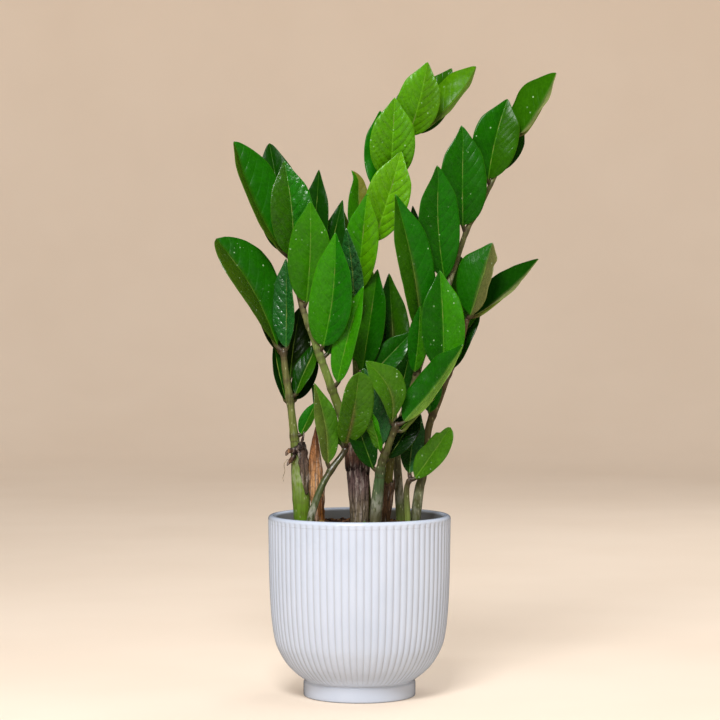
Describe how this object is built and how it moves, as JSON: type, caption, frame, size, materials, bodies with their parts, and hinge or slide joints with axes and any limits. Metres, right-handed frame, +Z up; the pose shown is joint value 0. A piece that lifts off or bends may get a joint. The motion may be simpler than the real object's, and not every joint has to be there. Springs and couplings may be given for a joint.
{
  "type": "potted plant",
  "caption": "Potted ZZ plant: leaning fleshy stems carry paired glossy leaflets above a round reeded ceramic pot on a plain foot, filled with dark potting mix",
  "frame": {"origin": "on the pot's axis at the plane the pot stands on", "axes": "+Z up along the pot's axis, +X to the right seen from the front, -Y toward the front"},
  "size_m": [0.262, 0.14, 0.4852],
  "materials": {
    "pot_ceramic": "cool white gloss glaze over fine upright reeds",
    "potting_mix": "dark peat and bark crumbs, matte",
    "green_stem": "smooth fleshy olive green with brown rings at the nodes",
    "leaf_blade": "waxy gloss, sunken midrib and side veins",
    "dry_bract": "dry papery brown, wrinkled"
  },
  "bodies": {
    "root": {"pot": "pot_ceramic", "potting_mix": "potting_mix", "stem_a": "green_stem", "stem_b": "green_stem", "stem_d": "green_stem", "stem_e": "green_stem", "stem_f": "green_stem", "stem_g": "green_stem", "stem_h": "green_stem", "stem_i": "green_stem", "stem_j": "green_stem", "leaflet_a1": "leaf_blade", "leaflet_a2": "leaf_blade", "leaflet_a3": "leaf_blade", "leaflet_a4": "leaf_blade", "leaflet_a5": "leaf_blade", "leaflet_a8": "leaf_blade", "leaflet_b1": "leaf_blade", "leaflet_b2": "leaf_blade", "leaflet_b3": "leaf_blade", "leaflet_b4": "leaf_blade", "leaflet_b5": "leaf_blade", "leaflet_b6": "leaf_blade", "leaflet_b7": "leaf_blade", "leaflet_b8": "leaf_blade", "leaflet_k1": "leaf_blade", "leaflet_j1": "leaf_blade", "leaflet_j2": "leaf_blade", "leaflet_j3": "leaf_blade", "leaflet_j4": "leaf_blade", "leaflet_j5": "leaf_blade", "leaflet_j6": "leaf_blade", "leaflet_j9": "leaf_blade", "leaflet_k2": "leaf_blade", "leaflet_q1": "leaf_blade", "leaflet_t1": "leaf_blade", "leaflet_t2": "leaf_blade", "leaflet_t3": "leaf_blade", "leaflet_t4": "leaf_blade", "leaflet_c1": "leaf_blade", "leaflet_p2": "leaf_blade", "leaflet_r1": "leaf_blade", "leaflet_r2": "leaf_blade", "leaflet_r3": "leaf_blade", "leaflet_p1": "leaf_blade", "leaflet_n1": "leaf_blade", "leaflet_n3": "leaf_blade", "leaflet_e2": "leaf_blade", "leaflet_e3": "leaf_blade", "leaflet_e4": "leaf_blade", "leaflet_e5": "leaf_blade", "leaflet_h1": "leaf_blade", "leaflet_h2": "leaf_blade", "leaflet_m1": "leaf_blade", "leaflet_m2": "leaf_blade", "leaflet_m3": "leaf_blade", "papery_sheath_a": "dry_bract", "papery_sheath_b": "dry_bract", "papery_sheath_f": "dry_bract", "dry_cataphyll": "dry_bract"}
  },
  "joints": []
}
